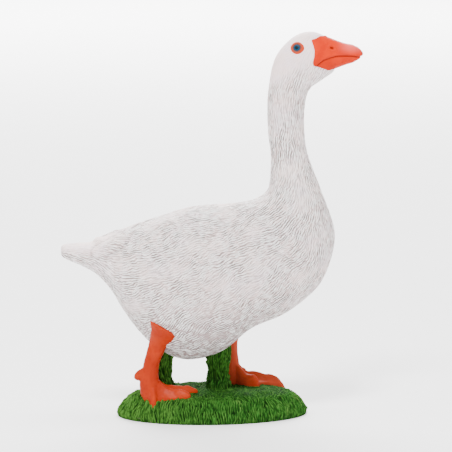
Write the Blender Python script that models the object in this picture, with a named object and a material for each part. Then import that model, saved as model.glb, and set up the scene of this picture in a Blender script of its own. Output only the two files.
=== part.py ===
# Goose figurine: one moulded piece of PVC. A goose walks on an oval mound of grass, and two tufts
# of grass rise from the mound to its belly. Metres, +Z up, the goose faces +X.
# The origin is the middle of the mound's flat underside.
import math

import bmesh
import bpy
from mathutils import Vector
from mathutils.bvhtree import BVHTree

mm = 0.001

# Trunk
tail_reach = 29.0 * mm         # tail tip, behind the middle of the mound
breast_reach = 23.7 * mm       # front of the breast, ahead of the middle of the mound
belly_height = 10.5 * mm       # lowest point of the belly, above the ground
back_height = 40.7 * mm        # back between the shoulders, above the ground
trunk_width = 21.6 * mm        # over both wings

# Neck and head
neck_back = 10.8 * mm          # back of the neck, ahead of the middle of the mound
neck_depth = 7.2 * mm          # front to back, half way up
neck_width = 7.0 * mm          # side to side, half way up
crown_height = 73.5 * mm       # top of the head, above the ground
head_depth = 9.7 * mm          # crown to throat
head_length = 11.6 * mm        # nape to the root of the bill
head_width = 6.8 * mm

# Bill
bill_length = 9.4 * mm         # from its corner to its tip
bill_depth = 6.0 * mm          # at its root
bill_width = 5.9 * mm          # at its root

# Eyes
eye_across = 2.5 * mm          # the coloured ring round each eye
eye_stand = 0.35 * mm          # how far the eye stands out of the head

# Legs
hind_leg_x = -12.5 * mm        # ankle of the right leg, which is back in the step
fore_leg_x = 4.2 * mm          # ankle of the left leg, which is forward in the step
stance = 9.6 * mm              # between the two ankles, side to side
shank_across = 3.1 * mm        # thickness of the lower leg
ankle_rise = 3.2 * mm          # ankle, above the grass
spur_rise = 4.5 * mm           # spur behind each ankle, above the grass
hip_sink = 4.4 * mm            # how far each leg runs on inside the body
thigh_proud = 0.55 * mm        # how far the top of each leg stands out of the flank
toe_length = 9.6 * mm
toe_thick = 1.25 * mm
web_thick = 0.45 * mm
heel_length = 1.5 * mm
foot_sink = 1.4 * mm           # how far each foot is bedded in the mound
foot_bed = 0.3 * mm            # lowest a foot's underside lies, above the ground

# Mound and tufts of grass
mound_length = 37.2 * mm
mound_width = 23.8 * mm
mound_height = 5.3 * mm
blade_depth = 0.6 * mm         # grooves between the blades of grass
hind_tuft_x = -9.8 * mm
fore_tuft_x = 1.2 * mm
tuft_across = 4.8 * mm
tuft_sink = 1.4 * mm           # how far a tuft runs on into the mound and the belly

# Carving
lock_depth = 0.14 * mm         # ridges of the carved feathers
wing_step = 0.30 * mm          # how far the folded wing stands out of the flank

body_sides = 44
body_rings = 60
mound_sides = 72
mound_rings = 15

white_paint = ("plumage paint", (0.80, 0.76, 0.75, 1.0), 0.55)
orange_paint = ("bill and leg paint", (0.78, 0.15, 0.04, 1.0), 0.35)
green_paint = ("grass paint", (0.07, 0.26, 0.03, 1.0), 0.6)
blue_paint = ("eye paint", (0.03, 0.12, 0.25, 1.0), 0.15)


# Guide points are written as shares of three boxes in the goose's middle plane, so a change of
# one size carries everything that hangs on it.
def in_trunk(along, up):
    return (-tail_reach + along * (tail_reach + breast_reach),
            belly_height + up * (back_height - belly_height))


def in_neck(along, up):
    return (neck_back + along * neck_depth, back_height + up * (crown_height - back_height))


def in_head(along, up):
    return (neck_back + along * head_length, crown_height - (1.0 - up) * head_depth)


# Each station is a slice through the goose: its point on the back, its point on the belly side
# and half its width there.
def body_stations():
    trunk = trunk_width / 2.0
    neck = neck_width / 2.0
    head = head_width / 2.0
    return [
        (in_trunk(0.000, 0.742), in_trunk(0.000, 0.690), 0.16 * trunk),
        (in_trunk(0.018, 0.758), in_trunk(0.018, 0.664), 0.27 * trunk),
        (in_trunk(0.062, 0.764), in_trunk(0.062, 0.632), 0.40 * trunk),
        (in_trunk(0.110, 0.768), in_trunk(0.118, 0.580), 0.49 * trunk),
        (in_trunk(0.132, 0.797), in_trunk(0.158, 0.515), 0.57 * trunk),
        (in_trunk(0.160, 0.800), in_trunk(0.190, 0.440), 0.64 * trunk),
        (in_trunk(0.218, 0.829), in_trunk(0.219, 0.352), 0.74 * trunk),
        (in_trunk(0.295, 0.883), in_trunk(0.266, 0.232), 0.86 * trunk),
        (in_trunk(0.380, 0.930), in_trunk(0.326, 0.118), 0.95 * trunk),
        (in_trunk(0.467, 0.975), in_trunk(0.400, 0.036), 0.99 * trunk),
        (in_trunk(0.554, 0.995), in_trunk(0.480, 0.012), 1.00 * trunk),
        (in_trunk(0.630, 1.005), in_trunk(0.586, 0.066), 0.98 * trunk),
        (in_trunk(0.692, 1.020), in_trunk(0.690, 0.205), 0.93 * trunk),
        (in_trunk(0.722, 1.040), in_trunk(0.816, 0.298), 0.85 * trunk),
        (in_neck(-0.080, 0.062), in_trunk(0.930, 0.452), 0.74 * trunk),
        (in_neck(0.015, 0.093), in_trunk(0.981, 0.616), 0.64 * trunk),
        (in_neck(0.055, 0.138), in_trunk(1.000, 0.785), 0.55 * trunk),
        (in_neck(0.070, 0.200), in_trunk(0.985, 0.915), 0.475 * trunk),
        (in_neck(0.070, 0.295), in_neck(1.390, 0.095), 1.22 * neck),
        (in_neck(0.000, 0.410), in_neck(1.035, 0.305), 1.07 * neck),
        (in_neck(-0.025, 0.550), in_neck(0.952, 0.480), 1.00 * neck),
        (in_neck(-0.010, 0.645), in_neck(0.998, 0.610), 0.98 * neck),
        (in_neck(0.040, 0.727), in_neck(1.120, 0.675), 0.97 * neck),
        (in_head(0.070, 0.350), in_head(0.810, 0.000), 0.98 * head),
        (in_head(0.130, 0.537), in_head(0.897, 0.070), 1.00 * head),
        (in_head(0.233, 0.712), in_head(0.966, 0.125), 0.99 * head),
        (in_head(0.380, 0.880), in_head(1.017, 0.165), 0.97 * head),
        (in_head(0.543, 0.985), in_head(1.052, 0.195), 0.94 * head),
        (in_head(0.724, 1.012), in_head(1.070, 0.216), 0.88 * head),
        (in_head(0.880, 0.955), in_head(1.086, 0.237), 0.80 * head),
        (in_head(0.990, 0.880), in_head(1.095, 0.258), 0.70 * head),
    ]


# The bill's slices stand upright; its upper line, its under line and half its width.
def bill_stations():
    root_x = neck_back + 0.775 * head_length
    root_z = crown_height - 0.72 * head_depth
    half = bill_width / 2.0

    def at(along, up):
        return (root_x + along * bill_length, root_z + up * bill_depth)

    return [
        (at(0.02, 0.84), at(0.06, 0.10), 0.80 * half),
        (at(0.03, 0.90), at(0.08, 0.03), 0.96 * half),
        (at(0.13, 1.01), at(0.20, -0.06), 1.00 * half),
        (at(0.28, 0.97), at(0.32, -0.06), 0.94 * half),
        (at(0.42, 0.89), at(0.44, 0.00), 0.84 * half),
        (at(0.58, 0.82), at(0.58, 0.10), 0.75 * half),
        (at(0.74, 0.735), at(0.73, 0.145), 0.68 * half),
        (at(0.87, 0.665), at(0.85, 0.225), 0.58 * half),
        (at(0.95, 0.59), at(0.92, 0.30), 0.44 * half),
        (at(0.99, 0.52), at(0.975, 0.40), 0.26 * half),
    ]


# A smooth curve through all the values, at a place counted in stations.
def smooth(values, place):
    last = len(values) - 1
    i = min(int(place), last - 1)
    f = place - i
    p0, p1, p2, p3 = (values[max(0, min(last, k))] for k in (i - 1, i, i + 1, i + 2))
    m1 = (p2 - p0) / 2.0
    m2 = (p3 - p1) / 2.0
    return ((2 * f ** 3 - 3 * f ** 2 + 1) * p1 + (f ** 3 - 2 * f ** 2 + f) * m1
            + (3 * f ** 2 - 2 * f ** 3) * p2 + (f ** 3 - f ** 2) * m2)


def slice_at(stations, share):
    place = share * (len(stations) - 1)
    top = Vector((smooth([s[0][0] for s in stations], place),
                  smooth([s[0][1] for s in stations], place)))
    low = Vector((smooth([s[1][0] for s in stations], place),
                  smooth([s[1][1] for s in stations], place)))
    return top, low, smooth([s[2] for s in stations], place)


# A rounded slice: angle 0 is the back, a quarter turn is the goose's left side.
def point_on(stations, share, angle, fullness=2.15, proud=0.0):
    top, low, half = slice_at(stations, share)
    middle = (top + low) / 2.0
    reach = (top - low) / 2.0
    power = 2.0 / fullness
    c = math.copysign(abs(math.cos(angle)) ** power, math.cos(angle))
    s = math.copysign(abs(math.sin(angle)) ** power, math.sin(angle))
    grow = 1.0 + proud / max(half, reach.length)
    return Vector((middle.x + reach.x * c * grow, half * s * grow, middle.y + reach.y * c * grow))


# A UV sphere whose rings and sides are laid where place(share from pole to pole, angle) says.
def laid_sphere(sides, rings, place):
    bm = bmesh.new()
    bmesh.ops.create_uvsphere(bm, u_segments=sides, v_segments=rings, radius=1.0)
    for vert in bm.verts:
        ring = round(math.acos(max(-1.0, min(1.0, vert.co.z))) / math.pi * rings)
        side = round(math.atan2(vert.co.y, vert.co.x) / (2.0 * math.pi) * sides)
        vert.co = place(ring / rings, 2.0 * math.pi * side / sides, ring, side)
        if ring in (0, rings):
            vert.co = (vert.co + place(ring / rings, math.pi, ring, side)) / 2.0
    if bm.calc_volume(signed=True) < 0.0:
        bmesh.ops.reverse_faces(bm, faces=bm.faces)
    bm.normal_update()
    return bm


def fade(value, low, high):
    f = max(0.0, min(1.0, (value - low) / (high - low)))
    return f * f * (3.0 - 2.0 * f)


# How far the carving raises the body's skin: the folded wing, its rows of feathers and the
# locks of the small feathers.
def carving(share, angle, ring, side):
    turn = abs(math.atan2(math.sin(angle), math.cos(angle))) / math.pi
    wing_edge = 0.43 - 0.10 * fade(share, 0.12, 0.36) + 0.02 * fade(share, 0.36, 0.46)
    on_wing = fade(wing_edge - turn, -0.02, 0.03) * fade(share, 0.13, 0.16) * (1.0 - fade(share, 0.33, 0.46))
    split = 1.0 - 0.8 * on_wing * (1.0 - fade(turn, 0.02, 0.07)) * fade(share, 0.13, 0.20)
    rows = on_wing * (1.0 - (ring % 3) / 2.0) * fade(turn, 0.06, 0.12)
    smooth_head = 1.0 - fade(share, 0.70, 0.80)
    sign = 1.0 if (side + ring // 3) % 2 == 0 else -1.0
    locks = sign * fade(share, 0.03, 0.10) * smooth_head * (1.0 - 0.5 * on_wing)
    return wing_step * on_wing * split + 0.4 * wing_step * rows + lock_depth * locks / 2.0


def body_mesh():
    stations = body_stations()

    def place(share, angle, ring, side):
        return point_on(stations, share, angle, proud=carving(share, angle, ring, side))

    return laid_sphere(body_sides, body_rings, place)


def bill_mesh():
    stations = bill_stations()

    def place(share, angle, ring, side):
        return point_on(stations, share, angle, fullness=2.4)

    return laid_sphere(24, 14, place)


def eye_mesh(skin, side_of_head):
    x = neck_back + 0.448 * head_length
    z = crown_height - 0.278 * head_depth
    start = Vector((x, side_of_head * head_width, z))
    seat, normal, _, _ = skin.ray_cast(start, Vector((0.0, -side_of_head, 0.0)))
    turn = Vector((0.0, 0.0, 1.0)).rotation_difference(normal).to_matrix()
    radius = eye_across / 2.0

    def place(share, angle, ring, side):
        lift = math.cos(share * math.pi)
        out = radius * math.sin(share * math.pi)
        bulge = 2.0 * eye_stand if lift > 0.0 else eye_across / 3.0
        return seat + turn @ Vector((out * math.cos(angle), out * math.sin(angle), bulge * lift - eye_stand))

    return laid_sphere(18, 8, place)


# The grass mound's own height over the ground, without its blades.
def grass_level(x, y):
    across = math.hypot(2.0 * x / mound_length, 2.0 * y / mound_width)
    return mound_height * max(0.0, 1.0 - across ** 7.0) ** 0.85


def mound_mesh():
    top_rings = mound_rings - 1

    def place(share, angle, ring, side):
        out = min(1.0, math.sin(min(ring, top_rings) / top_rings * math.pi / 2.0) ** 0.9)
        if ring == mound_rings:
            return Vector((0.0, 0.0, 0.0))
        x = out * mound_length / 2.0 * math.cos(angle)
        y = out * mound_width / 2.0 * math.sin(angle)
        z = grass_level(x, y)
        if ring == top_rings:
            return Vector((x, y, 0.0))
        groove = blade_depth if (side + ring // 2) % 2 else 0.0
        groove *= fade(out, 0.10, 0.30)
        shrink = 1.0 - groove / mound_width * fade(out, 0.7, 0.95)
        return Vector((x * shrink, y * shrink, z - groove * (1.0 - 0.6 * fade(out, 0.8, 1.0))))

    bm = laid_sphere(mound_sides, mound_rings, place)
    under = [face for face in bm.faces if all(abs(vert.co.z) < 1e-9 for vert in face.verts)]
    bmesh.ops.dissolve_faces(bm, faces=under)
    return bm


# A tube whose rings have the given middle, half sizes and place; its ends are closed.
def ringed_tube(rings, sides, ridge=0.0):
    count = len(rings) + 1

    def place(share, angle, ring, side):
        k = max(1, min(len(rings), ring)) - 1
        x, y, z, half_x, half_y = rings[k]
        if ring in (0, count):
            return Vector((x, y, z))
        out = 1.0 + (ridge / half_x if side % 2 else 0.0)
        return Vector((x + half_x * out * math.cos(angle), y + half_y * out * math.sin(angle), z))

    return laid_sphere(sides, count, place)


def underside(skin, x, y):
    hit = skin.ray_cast(Vector((x, y, 0.0)), Vector((0.0, 0.0, 1.0)))[0]
    return hit.z


def tuft_mesh(skin, x, y):
    low = grass_level(x, y) - tuft_sink
    high = underside(skin, x, y) + tuft_sink
    half = tuft_across / 2.0
    shape = ((0.00, 1.05), (0.16, 1.08), (0.32, 0.86), (0.50, 0.80), (0.68, 0.88), (0.84, 1.02), (1.00, 0.85))
    rings = [(x, y, low + (high - low) * up, half * wide, half * wide * 0.85) for up, wide in shape]
    return ringed_tube(rings, 24, ridge=-blade_depth * 0.8)


# How far out the body's side lies at a place seen from the side.
def flank(skin, x, z, side):
    hit = skin.ray_cast(Vector((x, side * trunk_width, z)), Vector((0.0, -side, 0.0)))[0]
    return abs(hit.y) if hit else 0.0


# Each slice of a leg, from the foot up: its front point and its back point, and half its width.
# A point is a share of half the shank, ahead of the ankle, and a share of the rise to the hip.
hind_slices = (
    ((1.23, -0.26), (-1.03, -0.25), 0.94), ((1.42, -0.10), (-1.23, -0.08), 1.03), ((1.10, 0.06), (-1.03, 0.09), 0.94),
    ((1.23, 0.25), (-0.77, 0.22), 0.90), ((1.71, 0.38), (-0.45, 0.37), 0.94), ((2.26, 0.51), (-0.19, 0.55), 1.06),
    ((3.48, 0.61), (0.00, 0.76), 1.19), ((3.16, 0.70), (0.00, 0.91), 1.13), ((2.39, 0.74), (0.19, 0.93), 0.52),
)
fore_slices = (
    ((1.10, -0.26), (-1.16, -0.25), 0.94), ((1.29, -0.10), (-1.23, -0.08), 1.03), ((1.10, 0.06), (-1.10, 0.09), 0.94),
    ((0.87, 0.25), (-1.03, 0.22), 0.90), ((0.84, 0.38), (-1.10, 0.37), 0.94), ((1.03, 0.51), (-1.29, 0.55), 1.06),
    ((1.42, 0.61), (-1.48, 0.76), 1.19), ((1.16, 0.70), (-1.42, 0.91), 1.13), ((0.58, 0.74), (-1.16, 0.93), 0.52),
)


# The shank widens into the thigh, whose top stands a little out of the flank.
def leg_mesh(skin, ankle_x, y, slices):
    side = math.copysign(1.0, y)
    half = shank_across / 2.0
    ankle_z = grass_level(ankle_x, y) + ankle_rise
    rise = underside(skin, ankle_x + half, y) + hip_sink - ankle_z
    rings = []
    for k, ((front, front_up), (back, back_up), wide) in enumerate(slices):
        front_point = Vector((ankle_x + half * front, ankle_z + rise * front_up))
        back_point = Vector((ankle_x + half * back, ankle_z + rise * back_up))
        middle = (front_point + back_point) / 2.0
        proud = thigh_proud if k < len(slices) - 1 else -thigh_proud
        out = max(abs(y), flank(skin, middle.x, middle.y, side) + proud - half * wide)
        rings.append((middle, (front_point - back_point) / 2.0, side * out, half * wide))

    def place(share, angle, ring, side):
        middle, reach, out, wide = rings[max(1, min(len(rings), ring)) - 1]
        size = 0.0 if ring in (0, len(rings) + 1) else 1.0
        reach = reach * size * math.cos(angle)
        return Vector((middle.x + reach.x, out + wide * size * math.sin(angle), middle.y + reach.y))

    return laid_sphere(16, len(rings) + 1, place)


# The spur at the back of the ankle.
def spur_mesh(ankle_x, y):
    z = grass_level(ankle_x, y) + spur_rise
    half = shank_across / 2.0
    middle = Vector((ankle_x - 0.8 * half, y, z))

    def place(share, angle, ring, side):
        out = math.sin(share * math.pi)
        return middle + Vector((-1.15 * half * math.cos(share * math.pi),
                                0.62 * half * out * math.cos(angle),
                                0.72 * half * out * math.sin(angle)))

    return laid_sphere(12, 7, place)


# A webbed foot laid over the mound. toes holds each toe's direction and its length as a share.
def foot_mesh(ankle_x, y, toes):
    top_rings = 6
    rings = 9
    sides = 44
    heel = heel_length / toe_length

    def reach(angle):
        best = heel
        for (a1, l1), (a2, l2) in zip(toes, toes[1:]):
            if a1 <= angle <= a2:
                f = (angle - a1) / (a2 - a1)
                best = l1 + (l2 - l1) * f - 0.30 * math.sin(math.pi * f)
        for direction, length in toes:
            off = abs(math.atan2(math.sin(angle - direction), math.cos(angle - direction)))
            best = max(best, length * (1.0 - fade(off, 0.0, 0.55)) + heel * fade(off, 0.0, 0.55))
        return best * toe_length

    def place(share, angle, ring, side):
        angle = math.atan2(math.sin(angle), math.cos(angle))
        out = min(ring, top_rings) / top_rings if ring <= top_rings else (rings - ring) / (rings - top_rings)
        far = reach(angle) * out
        x = ankle_x + far * math.cos(angle)
        yy = y + far * math.sin(angle)
        ground = grass_level(x, yy)
        if ring > top_rings:
            return Vector((x, yy, max(foot_bed, ground - foot_sink)))
        off = min(abs(far * math.sin(angle - direction)) if math.cos(angle - direction) > 0.0 else far
                  for direction, _ in toes)
        toe = toe_thick * math.exp(-(off / toe_thick) ** 2)
        ankle = ankle_rise * (1.0 - fade(far, 0.0, 0.36 * toe_length)) * 0.9
        rim = math.sqrt(max(0.0, 1.0 - out ** 6))
        top = ground + (web_thick + toe + ankle) * rim - foot_sink * 0.4 * (1.0 - rim)
        return Vector((x, yy, max(foot_bed + web_thick, top)))

    return laid_sphere(sides, rings, place)


def make_material(paint):
    name, colour, roughness = paint
    material = bpy.data.materials.new(name)
    material.use_nodes = True
    shader = material.node_tree.nodes["Principled BSDF"]
    shader.inputs["Base Color"].default_value = colour
    shader.inputs["Roughness"].default_value = roughness
    shader.inputs["Metallic"].default_value = 0.0
    return material


def make_object(name, bm, material, collection):
    mesh = bpy.data.meshes.new(name)
    bmesh.ops.triangulate(bm, faces=bm.faces[:])
    bm.to_mesh(mesh)
    bm.free()
    mesh.materials.append(material)
    mesh.shade_smooth()
    thing = bpy.data.objects.new(name, mesh)
    collection.objects.link(thing)
    return thing


def main():
    for thing in list(bpy.data.objects):
        bpy.data.objects.remove(thing, do_unlink=True)
    goose_parts = bpy.data.collections.new("goose figurine")
    joined_shapes = bpy.data.collections.new("joined shapes")
    bpy.context.scene.collection.children.link(goose_parts)
    bpy.context.scene.collection.children.link(joined_shapes)

    white = make_material(white_paint)
    orange = make_material(orange_paint)
    green = make_material(green_paint)
    blue = make_material(blue_paint)

    body = body_mesh()
    skin = BVHTree.FromBMesh(body)
    hind = (hind_leg_x, -stance / 2.0)
    fore = (fore_leg_x, stance / 2.0)
    hind_toes = ((-1.30, 0.33), (-0.36, 0.86), (0.03, 0.98))
    fore_toes = ((-0.72, 0.72), (0.0, 1.10), (0.72, 0.84))

    shapes = [
        ("bill", bill_mesh(), orange),
        ("left eye", eye_mesh(skin, 1.0), blue),
        ("right eye", eye_mesh(skin, -1.0), blue),
        ("mound", mound_mesh(), green),
        ("hind tuft", tuft_mesh(skin, hind_tuft_x, 0.0), green),
        ("fore tuft", tuft_mesh(skin, fore_tuft_x, 0.0), green),
        ("hind leg", leg_mesh(skin, *hind, hind_slices), orange),
        ("fore leg", leg_mesh(skin, *fore, fore_slices), orange),
        ("hind spur", spur_mesh(*hind), orange),
        ("fore spur", spur_mesh(*fore), orange),
        ("hind foot", foot_mesh(*hind, hind_toes), orange),
        ("fore foot", foot_mesh(*fore, fore_toes), orange),
    ]
    goose = make_object("goose_figurine", body, white, goose_parts)
    for name, bm, material in shapes:
        shape = make_object(name, bm, material, joined_shapes)
        shape.hide_render = True
        shape.display_type = "WIRE"
    join = goose.modifiers.new("one moulding", "BOOLEAN")
    join.operation = "UNION"
    join.solver = "EXACT"
    join.operand_type = "COLLECTION"
    join.collection = joined_shapes
    join.material_mode = "TRANSFER"


main()
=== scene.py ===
import itertools
import math
import random

import bmesh
import bpy
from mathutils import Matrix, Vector, noise
from mathutils.bvhtree import BVHTree
from mathutils.kdtree import KDTree


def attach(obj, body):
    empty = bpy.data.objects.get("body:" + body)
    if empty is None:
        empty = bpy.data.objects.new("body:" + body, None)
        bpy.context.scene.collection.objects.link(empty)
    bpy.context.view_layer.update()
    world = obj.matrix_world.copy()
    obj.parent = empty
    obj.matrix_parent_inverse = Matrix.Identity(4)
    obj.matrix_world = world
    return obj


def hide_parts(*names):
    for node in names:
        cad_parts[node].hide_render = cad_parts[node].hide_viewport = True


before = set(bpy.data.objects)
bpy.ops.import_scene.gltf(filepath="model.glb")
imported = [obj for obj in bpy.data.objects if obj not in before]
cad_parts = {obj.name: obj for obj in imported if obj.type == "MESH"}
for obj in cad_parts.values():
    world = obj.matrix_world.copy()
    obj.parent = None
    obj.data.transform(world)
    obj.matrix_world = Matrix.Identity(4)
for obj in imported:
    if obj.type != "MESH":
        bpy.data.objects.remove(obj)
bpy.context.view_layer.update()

mm = 0.001

# The goose's own measures, as the solid has them.
goose = {
    "tailReach": 29.0 * mm,
    "breastReach": 23.7 * mm,
    "bellyHeight": 10.5 * mm,
    "backHeight": 40.7 * mm,
    "trunkWidth": 21.6 * mm,
    "neckBack": 10.8 * mm,
    "neckDepth": 7.2 * mm,
    "neckWidth": 7.0 * mm,
    "crownHeight": 73.5 * mm,
    "headDepth": 9.7 * mm,
    "headLength": 11.6 * mm,
    "headWidth": 6.8 * mm,
    "fullness": 2.15,
}


def inTrunk(along, up):
    x = -goose["tailReach"] + along * (goose["tailReach"] + goose["breastReach"])
    return Vector((x, goose["bellyHeight"] + up * (goose["backHeight"] - goose["bellyHeight"])))


def inNeck(along, up):
    x = goose["neckBack"] + along * goose["neckDepth"]
    return Vector((x, goose["backHeight"] + up * (goose["crownHeight"] - goose["backHeight"])))


def inHead(along, up):
    x = goose["neckBack"] + along * goose["headLength"]
    return Vector((x, goose["crownHeight"] - (1.0 - up) * goose["headDepth"]))


# Slices through the goose: a point on the back, one on the belly side, and half the width there.
def gooseSlices():
    trunk = goose["trunkWidth"] / 2.0
    neck = goose["neckWidth"] / 2.0
    head = goose["headWidth"] / 2.0
    return [
        (inTrunk(0.000, 0.742), inTrunk(0.000, 0.690), 0.16 * trunk),
        (inTrunk(0.018, 0.758), inTrunk(0.018, 0.664), 0.27 * trunk),
        (inTrunk(0.062, 0.764), inTrunk(0.062, 0.632), 0.40 * trunk),
        (inTrunk(0.110, 0.768), inTrunk(0.118, 0.580), 0.49 * trunk),
        (inTrunk(0.132, 0.797), inTrunk(0.158, 0.515), 0.57 * trunk),
        (inTrunk(0.160, 0.800), inTrunk(0.190, 0.440), 0.64 * trunk),
        (inTrunk(0.218, 0.829), inTrunk(0.219, 0.352), 0.74 * trunk),
        (inTrunk(0.295, 0.883), inTrunk(0.266, 0.232), 0.86 * trunk),
        (inTrunk(0.380, 0.930), inTrunk(0.326, 0.118), 0.95 * trunk),
        (inTrunk(0.467, 0.975), inTrunk(0.400, 0.036), 0.99 * trunk),
        (inTrunk(0.554, 0.995), inTrunk(0.480, 0.012), 1.00 * trunk),
        (inTrunk(0.630, 1.005), inTrunk(0.586, 0.066), 0.98 * trunk),
        (inTrunk(0.692, 1.020), inTrunk(0.690, 0.205), 0.93 * trunk),
        (inTrunk(0.722, 1.040), inTrunk(0.816, 0.298), 0.85 * trunk),
        (inNeck(-0.080, 0.062), inTrunk(0.930, 0.452), 0.74 * trunk),
        (inNeck(0.015, 0.093), inTrunk(0.981, 0.616), 0.64 * trunk),
        (inNeck(0.055, 0.138), inTrunk(1.000, 0.785), 0.55 * trunk),
        (inNeck(0.070, 0.200), inTrunk(0.985, 0.915), 0.475 * trunk),
        (inNeck(0.070, 0.295), inNeck(1.390, 0.095), 1.22 * neck),
        (inNeck(0.000, 0.410), inNeck(1.035, 0.305), 1.07 * neck),
        (inNeck(-0.025, 0.550), inNeck(0.952, 0.480), 1.00 * neck),
        (inNeck(-0.010, 0.645), inNeck(0.998, 0.610), 0.98 * neck),
        (inNeck(0.040, 0.727), inNeck(1.120, 0.675), 0.97 * neck),
        (inHead(0.070, 0.350), inHead(0.810, 0.000), 0.98 * head),
        (inHead(0.130, 0.537), inHead(0.897, 0.070), 1.00 * head),
        (inHead(0.233, 0.712), inHead(0.966, 0.125), 0.99 * head),
        (inHead(0.380, 0.880), inHead(1.017, 0.165), 0.97 * head),
        (inHead(0.543, 0.985), inHead(1.052, 0.195), 0.94 * head),
        (inHead(0.724, 1.012), inHead(1.070, 0.216), 0.88 * head),
        (inHead(0.880, 0.955), inHead(1.086, 0.237), 0.80 * head),
        (inHead(0.990, 0.880), inHead(1.095, 0.258), 0.70 * head),
    ]


def curveThrough(values, place):
    last = len(values) - 1
    i = max(0, min(int(place), last - 1))
    f = place - i
    p0, p1, p2, p3 = (values[max(0, min(last, k))] for k in (i - 1, i, i + 1, i + 2))
    m1 = (p2 - p0) / 2.0
    m2 = (p3 - p1) / 2.0
    return ((2 * f ** 3 - 3 * f ** 2 + 1) * p1 + (f ** 3 - 2 * f ** 2 + f) * m1
            + (3 * f ** 2 - 2 * f ** 3) * p2 + (f ** 3 - f ** 2) * m2)


# The height at x of a curve given by (x, height) points in rising order of x.
def curveAt(points, x):
    xs = [p[0] for p in points]
    if x <= xs[0]:
        return points[0][1]
    for i in range(len(xs) - 1):
        if x <= xs[i + 1]:
            return curveThrough([p[1] for p in points], i + (x - xs[i]) / (xs[i + 1] - xs[i]))
    return points[-1][1]


def ease(value, low, high):
    f = max(0.0, min(1.0, (value - low) / (high - low)))
    return f * f * (3.0 - 2.0 * f)


def rounded(value, power):
    return math.copysign(abs(value) ** power, value)


# A UV sphere whose points are laid where place(share from pole to pole, angle) says.
def laidSphere(sides, rings, place):
    bm = bmesh.new()
    bmesh.ops.create_uvsphere(bm, u_segments=sides, v_segments=rings, radius=1.0)
    for vert in bm.verts:
        ring = round(math.acos(max(-1.0, min(1.0, vert.co.z))) / math.pi * rings)
        angle = math.atan2(vert.co.y, vert.co.x)
        vert.co = place(ring / rings, angle)
        if ring in (0, rings):
            vert.co = (vert.co + place(ring / rings, math.pi)) / 2.0
    if bm.calc_volume(signed=True) < 0.0:
        bmesh.ops.reverse_faces(bm, faces=bm.faces)
    bm.normal_update()
    return bm


def toObject(name, bm):
    mesh = bpy.data.meshes.new(name)
    bm.to_mesh(mesh)
    bm.free()
    mesh.shade_smooth()
    thing = bpy.data.objects.new(name, mesh)
    bpy.context.scene.collection.objects.link(thing)
    return thing


def evenOut(bm, verts):
    bmesh.ops.smooth_vert(bm, verts=verts, factor=0.5, use_axis_x=True, use_axis_y=True, use_axis_z=True)


# Joins overlapping closed shapes into one even skin, as one moulding has.
def mouldTogether(name, shapes, voxel, smoothing):
    whole = bmesh.new()
    for bm in shapes:
        mesh = bpy.data.meshes.new(name)
        bm.to_mesh(mesh)
        bm.free()
        whole.from_mesh(mesh)
        bpy.data.meshes.remove(mesh)
    rough = toObject(name + "_rough", whole)
    remesh = rough.modifiers.new("even skin", "REMESH")
    remesh.mode = "VOXEL"
    remesh.voxel_size = voxel
    evaluated = rough.evaluated_get(bpy.context.evaluated_depsgraph_get())
    skin = bpy.data.meshes.new_from_object(evaluated)
    bpy.data.objects.remove(rough)
    bm = bmesh.new()
    bm.from_mesh(skin)
    bpy.data.meshes.remove(skin)
    for _ in range(smoothing):
        evenOut(bm, bm.verts)
    bm.normal_update()
    return bm


# Carving: a skin keeps one height for each point, and marks press into it or stand on it.
class Skin:
    def __init__(self, bm):
        self.bm = bm
        bm.verts.ensure_lookup_table()
        self.at = [vert.co.copy() for vert in bm.verts]
        self.out = [vert.normal.copy() for vert in bm.verts]
        self.height = [0.0] * len(self.at)
        self.tree = KDTree(len(self.at))
        for i, co in enumerate(self.at):
            self.tree.insert(co, i)
        self.tree.balance()

    # Chooses scattered places for marks, which keep their distance along and across the grain.
    def scatter(self, seed, grain, along, across, wanted):
        draw = random.Random(seed)
        order = list(range(len(self.at)))
        draw.shuffle(order)
        cell = max(along, across)
        neighbours = list(itertools.product((-1, 0, 1), repeat=3))
        taken = {}
        marks = []
        for i in order:
            co = self.at[i]
            if not wanted(co, self.out[i]):
                continue
            flow = grain(co, self.out[i])
            side = self.out[i].cross(flow)
            key = (int(co.x // cell), int(co.y // cell), int(co.z // cell))
            cells = [(key[0] + dx, key[1] + dy, key[2] + dz) for dx, dy, dz in neighbours]
            ways = [other - co for beside in cells for other in taken.get(beside, ())]
            if not any((r.dot(flow) / along) ** 2 + (r.dot(side) / across) ** 2 < 1.0 and r.length < cell
                       for r in ways):
                taken.setdefault(key, []).append(co)
                marks.append((i, flow, side))
        return marks, draw

    def press(self, mark, halfLong, halfWide, depth, profile, bend=0.0, deepest=min):
        i, flow, side = mark
        middle = self.at[i]
        reach = math.hypot(halfLong, halfWide)
        for co, j, _ in self.tree.find_range(middle, reach):
            if self.out[j].dot(self.out[i]) < 0.2:
                continue
            r = co - middle
            u = r.dot(flow) / halfLong
            if abs(u) >= 1.0:
                continue
            v = r.dot(side) / halfWide + bend * math.sin(u * 2.6)
            if abs(v) < 1.0:
                self.height[j] = deepest(self.height[j], depth * profile(u, v))

    def finish(self, name, attribute, low, high):
        for vert, co, out, height in zip(self.bm.verts, self.at, self.out, self.height):
            vert.co = co + out * height
        thing = toObject(name, self.bm)
        shade = thing.data.attributes.new(attribute, "FLOAT", "POINT")
        values = [max(0.0, min(1.0, (h - low) / (high - low))) for h in self.height]
        shade.data.foreach_set("value", values)
        return thing


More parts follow.
